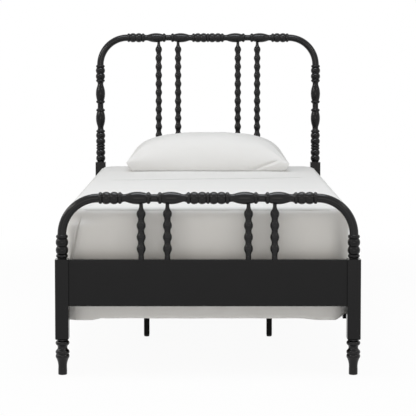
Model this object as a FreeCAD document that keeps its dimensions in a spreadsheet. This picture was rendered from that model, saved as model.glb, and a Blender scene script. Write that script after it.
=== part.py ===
"""A painted twin spool bed with its bedding.

The frame is turned and square wood: two arched ends, two side rails, slats and steel support legs.
Millimetres, +Z up, the origin on the floor under the middle, footboard at -Y and headboard at +Y.
"""
import FreeCAD, Part
import Sketcher
import os

Vector = FreeCAD.Vector
Rotation = FreeCAD.Rotation
Placement = FreeCAD.Placement

HEAD_SPOOLS = 18
FOOT_SPOOLS = 4
SLATS = 10
LEG_SLATS = (SLATS // 2 - 2, SLATS // 2 + 1)
CLEAT_SCREWS = 6
STRETCH_STEPS = 8
SIDES = (("left", -1), ("right", 1))
ENDS = (("foot", -1), ("head", 1))
BOARDS = (("footboard", -1, FOOT_SPOOLS), ("headboard", 1, HEAD_SPOOLS))
ALONG_X = (Vector(0, 1, 0), 90)
AGAINST_X = (Vector(0, 1, 0), -90)
DOWN = (Vector(1, 0, 0), 180)
TOLERANCE = 0.001

SIZES = {
    # bedding
    "mattress_width": 984,
    "mattress_length": 1900,
    "mattress_height": 226,
    "mattress_corner": 70,
    "mattress_edge": 22,
    "foundation_height": 140,
    "foundation_inset": 4,
    "foundation_corner": 60,
    "foundation_edge": 10,
    "sheet_thickness": 1.6,
    "cloth_gap": 0.4,
    "sheet_hem_from_head": 680,
    "sheet_side_hem": 300,
    "sheet_foot_hem": 190,
    "hem_dip": 6,
    "hem_corner_rise": 14,
    "hem_corner_width": 44,
    "corner_fold_top": 52,
    "corner_fold_bottom": 18,
    "corner_fold_start": 36,
    "corner_fold_height": 152,
    "pillow_width": 724,
    "pillow_depth": 350,
    "pillow_height": 168,
    "pillow_seam_height": 66,
    "pillow_contact": 210,
    "pillow_shoulder_height": 150,
    "pillow_end_height": 46,
    "pillow_shoulder_inset": 118,
    "pillow_corner_reach": 6,
    # room round the bedding
    "side_gap": 8,
    "end_gap": 13,
    "rest_gap": 0.3,
    # posts
    "post_side": 46.5,
    "post_edge": 2,
    "post_end_chamfer": 3,
    "shoulder_length": 4,
    "shoulder_diameter": 35,
    # turned arch members
    "bead_length": 27.1,
    "bead_diameter": 43.5,
    "ring_length": 12.8,
    "ring_diameter": 41.5,
    "groove_diameter": 33.5,
    "neck_diameter": 27,
    "neck_length": 3,
    "neck_flare": 8,
    "neck_hollow": 1,
    "middle_neck_length": 15,
    "middle_neck_flare": 6,
    "vase_flare": 12,
    "vase_hollow": 0.4,
    "column_vase_length": 63,
    "bend_radius": 127,
    "bend_diameter": 31,
    # spindles
    "spool_pitch": 40.2,
    "spool_diameter": 31.5,
    "spool_waist": 21.8,
    "spindle_offset": 45.3,
    "spindle_drop": 55,
    "spindle_taper": 26,
    "spindle_taper_hollow": 1.5,
    "spindle_top_diameter": 13.5,
    "spindle_bottom_length": 37,
    "spindle_bottom_neck": 10,
    "spindle_bottom_diameter": 19.5,
    "spindle_tenon_diameter": 13.5,
    "spindle_tenon_length": 20,
    # panels
    "panel_bottom": 239,
    "panel_height": 162,
    "panel_thickness": 20,
    "panel_edge": 1.5,
    "tenon_thickness": 10,
    "tenon_length": 18,
    "tenon_shoulder": 10,
    # feet
    "foot_base_diameter": 31,
    "foot_base_edge": 2,
    "foot_base_length": 20,
    "foot_taper_length": 37,
    "foot_taper_hollow": 2.6,
    "foot_bead_length": 15,
    "foot_bead_diameter": 48.4,
    "foot_bead_valley": 43,
    "foot_neck_length": 16,
    "foot_neck_diameter": 33.4,
    "foot_neck_edge_diameter": 40,
    "foot_collar_length": 6,
    "foot_collar_diameter": 36,
    # side rails and slats
    "side_rail_thickness": 22,
    "side_rail_height": 150,
    "side_rail_bottom": 168,
    "side_rail_edge": 2,
    "side_rail_outset": 7.5,
    "cleat_width": 20,
    "cleat_height": 20,
    "cleat_end_gap": 130,
    "slat_width": 70,
    "slat_thickness": 18,
    "slat_edge": 3,
    "slat_end_inset": 153.5,
    "slat_end_gap": 2,
    # support legs
    "leg_side": 21,
    "leg_wall": 1.5,
    "leg_spread": 240,
    "leg_plate_length": 64,
    "leg_plate_thickness": 3,
    "leg_plug_height": 24,
    "glide_diameter": 20,
    "glide_height": 6,
    "glide_edge": 1.5,
    "glide_stem_diameter": 8,
    "glide_stem_length": 34,
    # hardware
    "dowel_diameter": 10,
    "dowel_length": 40,
    "bolt_diameter": 8,
    "bolt_length": 70,
    "hook_plate_thickness": 2.5,
    "hook_plate_depth": 40,
    "hook_plate_height": 110,
    "hook_spacing": 54,
    "hook_reach": 16,
    "hook_tip": 5,
    "hook_height": 12,
    "hook_drop": 14,
    "hook_end_room": 2,
    "pin_diameter": 5,
    "pin_length": 36,
    "screw_diameter": 4,
    "screw_head_diameter": 8,
    "screw_head_height": 2.5,
    "slat_screw_length": 34,
    "cleat_screw_length": 34,
    "hook_screw_length": 18,
    "hook_screw_setback": 24,
    "leg_screw_length": 15,
    "fit_gap": 0.15,
}


class Size:
    """A length worked out from the sheet: its number and the expression that binds it."""

    def __init__(self, value, text):
        self.value = value
        self.text = text

    def __add__(self, other):
        other = as_size(other)
        return Size(self.value + other.value, f"({self.text} + {other.text})")

    def __sub__(self, other):
        other = as_size(other)
        return Size(self.value - other.value, f"({self.text} - {other.text})")

    def __mul__(self, other):
        other = as_size(other)
        return Size(self.value * other.value, f"({self.text} * {other.text})")

    def __truediv__(self, other):
        other = as_size(other)
        return Size(self.value / other.value, f"({self.text} / {other.text})")

    def __radd__(self, other):
        return as_size(other) + self

    def __rsub__(self, other):
        return as_size(other) - self

    def __rmul__(self, other):
        return as_size(other) * self

    def __neg__(self):
        return self * -1


def as_size(number):
    """A plain number as a Size, so that both can stand in one sum."""
    if isinstance(number, Size):
        return number
    return Size(float(number), f"({float(number)!r})")


class Sheet:
    """The driving dimensions, each read as a Size by its name."""

    def __init__(self, document, sizes):
        self.cells = document.addObject("Spreadsheet::Sheet", "sizes")
        self.values = sizes
        for row, (name, value) in enumerate(sizes.items(), start=1):
            self.cells.set(f"A{row}", name)
            self.cells.set(f"B{row}", str(value))
            self.cells.setAlias(f"B{row}", name)
        document.recompute()

    def __getattr__(self, name):
        return Size(float(self.values[name]), f"sizes.{name}")


doc = FreeCAD.newDocument("spool_bed")
s = Sheet(doc, SIZES)
nodes = []

# Shared places, worked out from the driving dimensions

foot_height = (s.foot_base_length + s.foot_taper_length + 3 * s.foot_bead_length
               + s.foot_neck_length + s.foot_collar_length)
rail_inner_x = s.mattress_width / 2 + s.side_gap
rail_x = rail_inner_x + s.side_rail_thickness / 2
post_x = rail_x - s.side_rail_outset
post_face_y = s.mattress_length / 2 + s.end_gap
post_y = post_face_y + s.post_side / 2
panel_top = s.panel_bottom + s.panel_height
cluster_length = 2 * (s.ring_length + s.bead_length)
rail_half = post_x - s.bend_radius
middle_fixed = (2 * (s.neck_flare + s.neck_length + s.vase_flare + s.middle_neck_flare)
                + s.middle_neck_length + 2 * s.ring_length)
rail_vase_length = (rail_half - cluster_length - middle_fixed
                    - 1.5 * s.ring_length - 2 * s.bead_length) / 2
middle_neck_x = s.ring_length * 1.5 + 2 * s.bead_length + middle_fixed / 2 + rail_vase_length
head_column_length = (s.shoulder_length + 3 * cluster_length - s.ring_length + middle_fixed
                      + 2 * s.column_vase_length)
foot_column_length = s.shoulder_length + cluster_length
slat_bottom = s.side_rail_bottom + s.cleat_height
slat_top = slat_bottom + s.slat_thickness
foundation_bottom = slat_top + s.rest_gap
mattress_bottom = foundation_bottom + s.foundation_height + s.rest_gap
mattress_top = mattress_bottom + s.mattress_height
fitted_top = mattress_top + s.cloth_gap + s.sheet_thickness
slat_pitch = (s.mattress_length - 2 * s.slat_end_inset) / (SLATS - 1)
hook_middle = s.side_rail_bottom + s.side_rail_height / 2
pin_setback = s.hook_reach - s.hook_tip - s.pin_diameter / 2 - s.fit_gap
leg_bottom = s.glide_height + s.rest_gap
leg_screw_reach = (s.leg_plate_length + s.leg_side) / 4


def rail_axis_z(spools):
    """Height of an arch's top rail: panel, spindle foot, the spools and the spindle's upper end."""
    return panel_top + s.spindle_bottom_length + (spools - 1) * s.spool_pitch + s.spindle_drop


# Ways of making a piece

def bind(item, prop, size):
    """Tie one property to the sheet."""
    item.setExpression(prop, as_size(size).text)


def place(item, x=0, y=0, z=0, axis=None, angle=0):
    """Set a piece's rotation, and tie its position to the sheet."""
    turned = Rotation(axis, angle) if axis else Rotation()
    position = [as_size(value) for value in (x, y, z)]
    item.Placement = Placement(Vector(*[size.value for size in position]), turned)
    for letter, size in zip("xyz", position):
        bind(item, f"Placement.Base.{letter}", size)


def node(item, label):
    """Name a finished sub-part and keep it for writing."""
    item.Label = label
    nodes.append(item)
    return item


def new_body(name):
    return doc.addObject("PartDesign::Body", name)


def origin_plane(body, role):
    return next(plane for plane in body.Origin.OriginFeatures if plane.Role == role)


class Outline:
    """A closed sketch outline, drawn corner by corner with every corner tied to the sheet."""

    def __init__(self, body, name, plane="XZ_Plane", offset=None):
        self.sketch = body.newObject("Sketcher::SketchObject", name)
        self.sketch.AttachmentSupport = [(origin_plane(body, plane), "")]
        self.sketch.MapMode = "FlatFace"
        if offset is not None:
            bind(self.sketch, "AttachmentOffset.Base.z", offset)
        self.corners = []

    def corner(self, x, y, rise=0):
        """Add a corner; rise lifts the stretch that leads to it into an arc, to its right."""
        self.corners.append((as_size(x), as_size(y), as_size(rise)))
        return self

    def close(self, rise=0):
        """Draw the edges, the last one back to the first corner."""
        first_x, first_y, _ = self.corners[0]
        ends = self.corners[1:] + [(first_x, first_y, as_size(rise))]
        edges = [self.draw_edge(start, end) for start, end in zip(self.corners, ends)]
        ties = []
        sizes = {}
        for index, (x, y, _) in enumerate(self.corners):
            first_end, last_end, radius = edges[index]
            following = (index + 1) % len(edges)
            ties.append(Sketcher.Constraint("Coincident", index, last_end, following, edges[following][0]))
            for kind, size in (("DistanceX", x), ("DistanceY", y)):
                sizes[len(ties)] = size
                ties.append(Sketcher.Constraint(kind, -1, 1, index, first_end, size.value))
            if radius:
                sizes[len(ties)] = radius
                ties.append(Sketcher.Constraint("Radius", index, radius.value))
        self.sketch.addConstraint(ties)
        for number, size in sizes.items():
            self.sketch.setExpression(f"Constraints[{number}]", size.text)
        return self.sketch

    def draw_edge(self, start, end):
        """Draw one edge; gives its first and last end as the sketch counts them, and an arc's radius."""
        x0, y0, _ = start
        x1, y1, rise = end
        a = Vector(x0.value, y0.value, 0)
        b = Vector(x1.value, y1.value, 0)
        if rise.value == 0:
            self.sketch.addGeometry(Part.LineSegment(a, b))
            return 1, 2, None
        chord = b - a
        right = Vector(chord.y, -chord.x, 0).normalize()
        self.sketch.addGeometry(Part.Arc(a, (a + b) / 2 + right * rise.value, b))
        depth = rise if rise.value > 0 else -rise
        width = x1 - x0
        height = y1 - y0
        radius = (width * width + height * height) / (8 * depth) + depth / 2
        if rise.value > 0:
            return 1, 2, radius
        return 2, 1, radius


def revolve(body, sketch, name, angle=360):
    feature = body.newObject("PartDesign::Revolution", name)
    feature.Profile = (sketch, [""])
    feature.ReferenceAxis = (sketch, ["V_Axis"])
    feature.Angle = angle
    return feature


def pad(body, sketch, name, length):
    feature = body.newObject("PartDesign::Pad", name)
    feature.Profile = (sketch, [""])
    bind(feature, "Length", length)
    return feature


def rectangle(body, name, width, depth, plane="XY_Plane"):
    """A rectangle centred on the body's origin."""
    outline = Outline(body, name, plane)
    for x, y in ((-1, -1), (1, -1), (1, 1), (-1, 1)):
        outline.corner(x * width / 2, y * depth / 2)
    return outline.close()


def box_feature(body, kind, name, size, x, y, z):
    """An added or subtracted box; x, y and z are its lowest corner."""
    feature = body.newObject(f"PartDesign::{kind}Box", name)
    for prop, value in zip(("Length", "Width", "Height"), size):
        bind(feature, prop, value)
    place(feature, x, y, z)
    return feature


def bore(body, name, diameter, depth, x=0, y=0, z=0, axis=None, angle=0):
    """A round hole from the given point along +Z, or along the turned axis."""
    feature = body.newObject("PartDesign::SubtractiveCylinder", name)
    bind(feature, "Radius", diameter / 2)
    bind(feature, "Height", depth)
    place(feature, x, y, z, axis, angle)
    return feature


def edges_where(feature, test):
    """Names of the straight edges of a feature whose two ends pass the test."""
    doc.recompute()
    names = []
    for number, edge in enumerate(feature.Shape.Edges, start=1):
        ends = [vertex.Point for vertex in edge.Vertexes]
        if len(ends) == 2 and test(ends[0], ends[1]):
            names.append(f"Edge{number}")
    return names


def upright(a, b):
    return abs(a.x - b.x) + abs(a.y - b.y) < TOLERANCE


def level(a, b):
    return abs(a.z - b.z) < TOLERANCE


def along_x(a, b):
    return level(a, b) and abs(a.y - b.y) < TOLERANCE


def along_y(a, b):
    return level(a, b) and abs(a.x - b.x) < TOLERANCE


def soften(body, kind, name, base, edges, size):
    """A fillet or chamfer on named edges."""
    feature = body.newObject(f"PartDesign::{kind}", name)
    feature.Base = (base, edges)
    bind(feature, "Radius" if kind == "Fillet" else "Size", size)
    return feature


def group(label, solids):
    """Identical small pieces kept as one node of separate solids."""
    bundle = doc.addObject("Part::Compound", label)
    bundle.Links = solids
    return node(bundle, label)


def rod(name, diameter, length, x, y, z, axis=None, angle=0):
    """A plain round rod from the given point along +Z, or along the turned axis."""
    cylinder = doc.addObject("Part::Cylinder", name)
    bind(cylinder, "Radius", diameter / 2)
    bind(cylinder, "Height", length)
    place(cylinder, x, y, z, axis, angle)
    return cylinder


def screw(name, length, x, y, z, axis=None, angle=0):
    """A flat-headed screw, its head's outer face at the given point and its shank along +Z."""
    body = new_body(name)
    profile = Outline(body, f"{name}_profile")
    profile.corner(0, 0).corner(s.screw_head_diameter / 2, 0)
    profile.corner(s.screw_diameter / 2, s.screw_head_height)
    profile.corner(s.screw_diameter / 2, length).corner(0, length)
    revolve(body, profile.close(), f"{name}_turn")
    place(body, x, y, z, axis, angle)
    return body


def screw_hole(body, name, length, x, y, z, axis=None, angle=0):
    """A hole for that screw: a clearance bore with room for the head."""
    bore(body, f"{name}_shank", s.screw_diameter + 2 * s.fit_gap, length + s.fit_gap, x, y, z, axis, angle)
    sink = body.newObject("PartDesign::SubtractiveCone", f"{name}_sink")
    bind(sink, "Radius1", s.screw_head_diameter / 2 + s.fit_gap)
    bind(sink, "Radius2", s.screw_diameter / 2 + s.fit_gap)
    bind(sink, "Height", s.screw_head_height + s.fit_gap)
    place(sink, x, y, z, axis, angle)


# Turned members of the arches

groove = s.groove_diameter / 2
neck = s.neck_diameter / 2
RING = (s.ring_length, groove, (s.ring_diameter - s.groove_diameter) / 2)
BEAD = (s.bead_length, groove, (s.bead_diameter - s.groove_diameter) / 2)
CLUSTER = [RING, BEAD, BEAD, RING]


def middle_turning(vase_length):
    """The stretch between two bead clusters: neck, vase, ring, neck, ring, vase, neck."""
    vase = (vase_length, groove, (s.bead_diameter - s.groove_diameter) / 2)
    return [
        (s.neck_flare, neck, -s.neck_hollow),
        (s.neck_length, neck, 0),
        (s.vase_flare, groove, -s.vase_hollow),
        vase,
        RING,
        (s.middle_neck_flare, neck, -s.neck_hollow),
        (s.middle_neck_length, neck, 0),
        (s.middle_neck_flare, groove, -s.neck_hollow),
        RING,
        vase,
        (s.vase_flare, neck, -s.vase_hollow),
        (s.neck_length, neck, 0),
        (s.neck_flare, groove, -s.neck_hollow),
    ]


def turn(body, name, height, radius, steps):
    """Add one turned stretch, a row of steps (length, end radius, rise), and give its upper end."""
    outline = Outline(body, f"{name}_profile")
    outline.corner(0, height).corner(radius, height)
    for length, end_radius, rise in steps:
        height = height + length
        outline.corner(end_radius, height, rise)
    outline.corner(0, height)
    revolve(body, outline.close(), f"{name}_turn")
    return height


def turn_all(body, name, height, radius, stretches):
    """Add turned stretches end to end, each starting at the same radius."""
    for number, steps in enumerate(stretches, start=1):
        height = turn(body, f"{name}_{number}", height, radius, steps)
    return height


def top_rail(board, y, z):
    """The turned rail over the spindles, bored at its ends for dowels and below for spindles."""
    name = f"{board}_top_rail"
    body = new_body(name)
    middle = middle_turning(rail_vase_length)
    centre = [RING, BEAD, BEAD, RING, BEAD, BEAD, RING]
    turn_all(body, name, -rail_half, groove, [CLUSTER, middle, centre, middle, CLUSTER])
    hole = s.dowel_diameter + 2 * s.fit_gap
    depth = s.dowel_length / 2 + s.fit_gap
    bore(body, f"{name}_left_bore", hole, depth, z=-rail_half)
    bore(body, f"{name}_right_bore", hole, depth, z=rail_half - depth)
    for number, x in enumerate(spindle_places(), start=1):
        bore(body, f"{name}_bore_{number}", s.spindle_top_diameter + 2 * s.fit_gap, s.bead_diameter,
             z=x, axis=ALONG_X[0], angle=ALONG_X[1])
    place(body, 0, y, z, *ALONG_X)
    node(body, name)


def spindle_places():
    """The four spindles stand in pairs, one each side of the rail's middle necks."""
    inner = middle_neck_x - s.spindle_offset
    outer = middle_neck_x + s.spindle_offset
    return [-outer, -inner, inner, outer]


def bend(board, side, sign, y, z):
    """A plain quarter bend between a column and the top rail, bored at both ends for dowels."""
    name = f"{board}_bend_{side}"
    body = new_body(name)
    sketch = body.newObject("Sketcher::SketchObject", f"{name}_section")
    sketch.AttachmentSupport = [(origin_plane(body, "XY_Plane"), "")]
    sketch.MapMode = "FlatFace"
    centre = Vector(s.bend_radius.value, 0, 0)
    sketch.addGeometry(Part.Circle(centre, Vector(0, 0, 1), s.bend_diameter.value / 2))
    sketch.addConstraint([
        Sketcher.Constraint("PointOnObject", 0, 3, -1),
        Sketcher.Constraint("DistanceX", -1, 1, 0, 3, s.bend_radius.value),
        Sketcher.Constraint("Diameter", 0, s.bend_diameter.value),
    ])
    sketch.setExpression("Constraints[1]", s.bend_radius.text)
    sketch.setExpression("Constraints[2]", s.bend_diameter.text)
    quarter = revolve(body, sketch, f"{name}_turn", 90)
    quarter.Reversed = True
    hole = s.dowel_diameter + 2 * s.fit_gap
    depth = s.dowel_length / 2 + s.fit_gap
    bore(body, f"{name}_lower_bore", hole, depth, x=s.bend_radius)
    bore(body, f"{name}_upper_bore", hole, depth, z=s.bend_radius, axis=ALONG_X[0], angle=ALONG_X[1])
    turned = 0 if sign > 0 else 180
    place(body, sign * (post_x - s.bend_radius), y, z - s.bend_radius, Vector(0, 0, 1), turned)
    node(body, name)


def spindle(board, number, x, y, spools):
    """A spool spindle: a tenon in the panel, a row of spools and a thin end in the top rail."""
    name = f"{board}_spindle_{number}"
    body = new_body(name)
    middle = (s.spool_diameter + s.spool_waist) / 4
    swell = (s.spool_diameter - s.spool_waist) / 4
    half_pitch = s.spool_pitch / 2
    top = s.spindle_top_diameter / 2
    bottom = s.spindle_bottom_diameter / 2
    tenon = s.spindle_tenon_diameter / 2
    taper_bottom = s.spindle_bottom_length - s.spool_pitch / 4 - s.spindle_bottom_neck
    foot_steps = [
        (s.spindle_tenon_length, tenon, 0),
        (0, bottom, 0),
        (s.spindle_bottom_neck, bottom, 0),
        (taper_bottom, middle, -s.spindle_taper_hollow),
    ]
    head_steps = [
        (s.spindle_taper - s.spool_pitch / 4, top, -s.spindle_taper_hollow),
        (s.spindle_drop - s.spindle_taper - s.fit_gap, top, 0),
    ]
    spool = (half_pitch, middle, swell)
    waist = (half_pitch, middle, -swell)
    row = [spool] + [waist, spool] * (spools - 1)
    stretches = [row[start:start + STRETCH_STEPS] for start in range(0, len(row), STRETCH_STEPS)]
    height = turn(body, f"{name}_foot", -s.spindle_tenon_length, tenon, foot_steps)
    height = turn_all(body, name, height, middle, stretches)
    turn(body, f"{name}_head", height, middle, head_steps)
    place(body, x, y, panel_top)
    node(body, name)


# Posts, panels and feet

def post(board, side, x_sign, y_sign, y, column_length, column, top):
    """A post: square where the boards join it, turned above, with its mortises and slots."""
    name = f"{board}_post_{side}"
    block = top - column_length - foot_height
    half = s.post_side / 2
    body = new_body(name)
    square = pad(body, rectangle(body, f"{name}_square", s.post_side, s.post_side), f"{name}_block", block)
    lower = edges_where(square, lambda a, b: abs(a.z) + abs(b.z) < TOLERANCE)
    ended = soften(body, "Chamfer", f"{name}_lower_end", square, lower, s.post_end_chamfer)
    soften(body, "Fillet", f"{name}_edges", ended, edges_where(ended, upright), s.post_edge)
    shoulder = [
        (s.post_edge, s.shoulder_diameter / 2, 0),
        (s.shoulder_length, groove, -s.neck_hollow),
    ]
    height = turn(body, f"{name}_shoulder", block - s.post_edge, s.shoulder_diameter / 2, shoulder)
    crown = turn_all(body, name, height, groove, column)
    depth = s.dowel_length / 2 + s.fit_gap
    bore(body, f"{name}_dowel_bore", s.dowel_diameter + 2 * s.fit_gap, depth, z=crown - depth)
    bore(body, f"{name}_bolt_bore", s.bolt_diameter + 2 * s.fit_gap, s.bolt_length / 2 + s.fit_gap)
    mortise_depth = s.tenon_length + s.fit_gap
    mortise = (mortise_depth, s.tenon_thickness + 2 * s.fit_gap,
               s.panel_height - 2 * s.tenon_shoulder + 2 * s.fit_gap)
    mortise_x = half - mortise_depth if x_sign < 0 else -half
    box_feature(body, "Subtractive", f"{name}_mortise", mortise, mortise_x, -mortise[1] / 2,
                s.panel_bottom + s.tenon_shoulder - s.fit_gap - foot_height)
    slot_width = s.hook_plate_thickness + 2 * s.fit_gap
    slot_depth = s.hook_reach + s.hook_end_room
    slot_height = s.hook_spacing + 2 * s.hook_height + 2 * s.hook_drop
    slot_y = half - slot_depth if y_sign < 0 else -half
    box_feature(body, "Subtractive", f"{name}_slot", (slot_width, slot_depth, slot_height),
                x_sign * s.side_rail_outset - slot_width / 2, slot_y,
                hook_middle - s.hook_spacing / 2 - s.hook_drop - foot_height)
    outward = ALONG_X if x_sign > 0 else AGAINST_X
    for number, height in enumerate(pin_heights(), start=1):
        bore(body, f"{name}_pin_bore_{number}", s.pin_diameter + 2 * s.fit_gap, s.pin_length + s.fit_gap,
             -x_sign * half, -y_sign * (half - pin_setback), height - foot_height, *outward)
    place(body, x_sign * post_x, y, foot_height)
    node(body, name)


def pin_heights():
    """Each hook hangs on a pin just under its bar."""
    drop = s.pin_diameter / 2 + s.fit_gap
    return [hook_middle - s.hook_spacing / 2 - drop, hook_middle + s.hook_spacing / 2 - drop]


def panel(board, y):
    """The flat board between the posts, with a tongue at each end and bores for the spindles."""
    name = f"{board}_panel"
    body = new_body(name)
    length = 2 * post_x - s.post_side
    sketch = rectangle(body, f"{name}_section", length, s.panel_thickness)
    board_pad = pad(body, sketch, f"{name}_board", s.panel_height)
    long_edges = edges_where(board_pad, along_x)
    soften(body, "Fillet", f"{name}_edges", board_pad, long_edges, s.panel_edge)
    tongue = (length + 2 * s.tenon_length, s.tenon_thickness, s.panel_height - 2 * s.tenon_shoulder)
    box_feature(body, "Additive", f"{name}_tongue", tongue, -tongue[0] / 2, -tongue[1] / 2, s.tenon_shoulder)
    depth = s.spindle_tenon_length + s.fit_gap
    for number, x in enumerate(spindle_places(), start=1):
        bore(body, f"{name}_bore_{number}", s.spindle_tenon_diameter + 2 * s.fit_gap, depth,
             x=x, z=s.panel_height - depth)
    place(body, 0, y, s.panel_bottom)
    node(body, name)


def foot(board, side, x, y):
    """A turned foot under a post: a tapered base, two beads, a neck, a bead and a collar."""
    name = f"{board}_foot_{side}"
    body = new_body(name)
    base = s.foot_base_diameter / 2
    valley = s.foot_bead_valley / 2
    neck_edge = s.foot_neck_edge_diameter / 2
    full = s.foot_bead_diameter / 2
    collar = s.foot_collar_diameter / 2
    steps = [
        (s.foot_base_edge, base, s.foot_base_edge / 4),
        (s.foot_base_length - s.foot_base_edge, base, 0),
        (s.foot_taper_length, valley, -s.foot_taper_hollow),
        (s.foot_bead_length, valley, full - valley),
        (s.foot_bead_length, neck_edge, full - (valley + neck_edge) / 2),
        (s.foot_neck_length, neck_edge, s.foot_neck_diameter / 2 - neck_edge),
        (s.foot_bead_length, neck_edge, full - neck_edge),
        (s.foot_collar_length, collar, -s.neck_hollow),
    ]
    top = turn(body, name, as_size(0), base - s.foot_base_edge, steps)
    depth = s.bolt_length / 2 + s.fit_gap
    bore(body, f"{name}_bolt_bore", s.bolt_diameter + 2 * s.fit_gap, depth, z=top - depth)
    place(body, x, y, 0)
    node(body, name)


# Side rails, cleats, hooks and slats

def along_rail(count, length):
    """Even places along a rail, half a step in from each end."""
    return [(number + 0.5) * length / count - length / 2 for number in range(count)]


def slat_places():
    return [(number - (SLATS - 1) / 2) * slat_pitch for number in range(SLATS)]


rail_length = 2 * post_face_y
cleat_length = rail_length - 2 * s.cleat_end_gap
cleat_middle = s.side_rail_bottom + s.cleat_height / 2
cleat_face_x = rail_inner_x - s.cleat_width
slat_screw_x = rail_inner_x - s.cleat_width / 2
hook_screw_heights = [hook_middle - s.hook_spacing / 2, hook_middle + s.hook_spacing / 2]


def side_rail(side, sign):
    """A side rail: a board with softened edges, slotted at both ends for the hook plates."""
    name = f"side_rail_{side}"
    body = new_body(name)
    sketch = rectangle(body, f"{name}_section", s.side_rail_thickness, rail_length)
    board = pad(body, sketch, f"{name}_board", s.side_rail_height)
    long_edges = edges_where(board, along_y)
    soften(body, "Fillet", f"{name}_edges", board, long_edges, s.side_rail_edge)
    slot = (s.hook_plate_thickness + 2 * s.fit_gap, s.hook_plate_depth + s.fit_gap,
            s.hook_plate_height + 2 * s.fit_gap)
    for end, y in (("foot", -rail_length / 2), ("head", rail_length / 2 - slot[1])):
        box_feature(body, "Subtractive", f"{name}_{end}_slot", slot, -slot[0] / 2, y,
                    s.side_rail_height / 2 - slot[2] / 2)
    outward = ALONG_X if sign > 0 else AGAINST_X
    inner = -sign * s.side_rail_thickness / 2
    for end, y_sign in ENDS:
        for number, height in enumerate(hook_screw_heights, start=1):
            screw_hole(body, f"{name}_hook_{end}_{number}", s.hook_screw_length,
                       inner, y_sign * (rail_length / 2 - s.hook_screw_setback),
                       height - s.side_rail_bottom, *outward)
    shank = s.screw_diameter + 2 * s.fit_gap
    depth = s.cleat_screw_length - s.cleat_width + s.fit_gap
    for number, y in enumerate(along_rail(CLEAT_SCREWS, cleat_length), start=1):
        bore(body, f"{name}_cleat_bore_{number}", shank, depth, inner, y, s.cleat_height / 2, *outward)
    place(body, sign * rail_x, 0, s.side_rail_bottom)
    node(body, name)


def cleat(side, sign):
    """The strip along a rail's lower edge that carries the slat ends."""
    name = f"slat_cleat_{side}"
    body = new_body(name)
    sketch = rectangle(body, f"{name}_section", s.cleat_width, cleat_length)
    pad(body, sketch, f"{name}_strip", s.cleat_height)
    outward = ALONG_X if sign > 0 else AGAINST_X
    for number, y in enumerate(along_rail(CLEAT_SCREWS, cleat_length), start=1):
        screw_hole(body, f"{name}_side_{number}", s.cleat_screw_length,
                   -sign * s.cleat_width / 2, y, s.cleat_height / 2, *outward)
    depth = s.slat_screw_length - s.slat_thickness + s.fit_gap
    for number, y in enumerate(slat_places(), start=1):
        bore(body, f"{name}_slat_bore_{number}", s.screw_diameter + 2 * s.fit_gap, depth,
             0, y, s.cleat_height, *DOWN)
    place(body, sign * (rail_inner_x - s.cleat_width / 2), 0, s.side_rail_bottom)
    node(body, name)


def hook_plate(name, x, y_sign):
    """A steel plate in a rail's end, with two hooks that drop over the pins in the post."""
    body = new_body(name)
    lower = -s.hook_spacing / 2
    upper = s.hook_spacing / 2
    bottom = -s.hook_plate_height / 2
    tip = s.hook_reach - s.hook_tip
    drop = s.hook_drop - s.fit_gap
    outline = Outline(body, f"{name}_outline", "YZ_Plane")
    outline.corner(-s.hook_plate_depth, bottom).corner(0, bottom)
    for bar in (lower, upper):
        outline.corner(0, bar).corner(tip, bar).corner(tip, bar - drop).corner(s.hook_reach, bar - drop)
        outline.corner(s.hook_reach, bar + s.hook_height).corner(0, bar + s.hook_height)
    outline.corner(0, -bottom).corner(-s.hook_plate_depth, -bottom)
    pad(body, outline.close(), f"{name}_plate", s.hook_plate_thickness)
    hole = s.screw_diameter + 2 * s.fit_gap
    for number, height in enumerate(hook_screw_heights, start=1):
        bore(body, f"{name}_hole_{number}", hole, s.hook_plate_thickness * 2,
             -s.hook_plate_thickness / 2, -s.hook_screw_setback, height - hook_middle, *ALONG_X)
    turned = 0 if y_sign > 0 else 180
    shift = s.hook_plate_thickness / 2
    place(body, x - (shift if y_sign > 0 else -shift), y_sign * rail_length / 2, hook_middle,
          Vector(0, 0, 1), turned)
    return body


def slat(number, y):
    """A slat across the bed, screwed down to both cleats; some also carry two legs."""
    name = f"slat_{number}"
    body = new_body(name)
    length = 2 * (rail_inner_x - s.slat_end_gap)
    sketch = rectangle(body, f"{name}_section", length, s.slat_width)
    board = pad(body, sketch, f"{name}_board", s.slat_thickness)
    long_edges = edges_where(board, along_x)
    soften(body, "Fillet", f"{name}_edges", board, long_edges, s.slat_edge)
    for side, sign in SIDES:
        screw_hole(body, f"{name}_{side}", s.slat_screw_length, sign * slat_screw_x, 0, s.slat_thickness, *DOWN)
    if number - 1 in LEG_SLATS:
        for place_number, x in enumerate(leg_screw_places(), start=1):
            bore(body, f"{name}_leg_bore_{place_number}", s.screw_diameter + 2 * s.fit_gap,
                 s.leg_screw_length - s.leg_plate_thickness + s.fit_gap, x)
    place(body, 0, y, slat_bottom)
    node(body, name)


# Support legs

def leg_screw_places():
    """Two screws hold each leg's plate, one each side of the tube."""
    middles = [-s.leg_spread, s.leg_spread]
    return [middle + sign * leg_screw_reach for middle in middles for side, sign in SIDES]


def support_leg(name, x, y):
    """A square steel tube welded to a plate that is screwed up under a slat."""
    body = new_body(name)
    height = slat_bottom - leg_bottom
    inner = s.leg_side - 2 * s.leg_wall
    pad(body, rectangle(body, f"{name}_section", s.leg_side, s.leg_side), f"{name}_tube", height)
    plate = (s.leg_plate_length, s.slat_width - 2 * s.slat_edge, s.leg_plate_thickness)
    box_feature(body, "Additive", f"{name}_plate", plate, -plate[0] / 2, -plate[1] / 2, height - plate[2])
    box_feature(body, "Subtractive", f"{name}_hollow", (inner, inner, height - plate[2]),
                -inner / 2, -inner / 2, 0)
    for side, sign in SIDES:
        screw_hole(body, f"{name}_screw_{side}", s.leg_screw_length,
                   sign * leg_screw_reach, 0, height - plate[2])
    place(body, x, y, leg_bottom)
    node(body, name)


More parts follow.
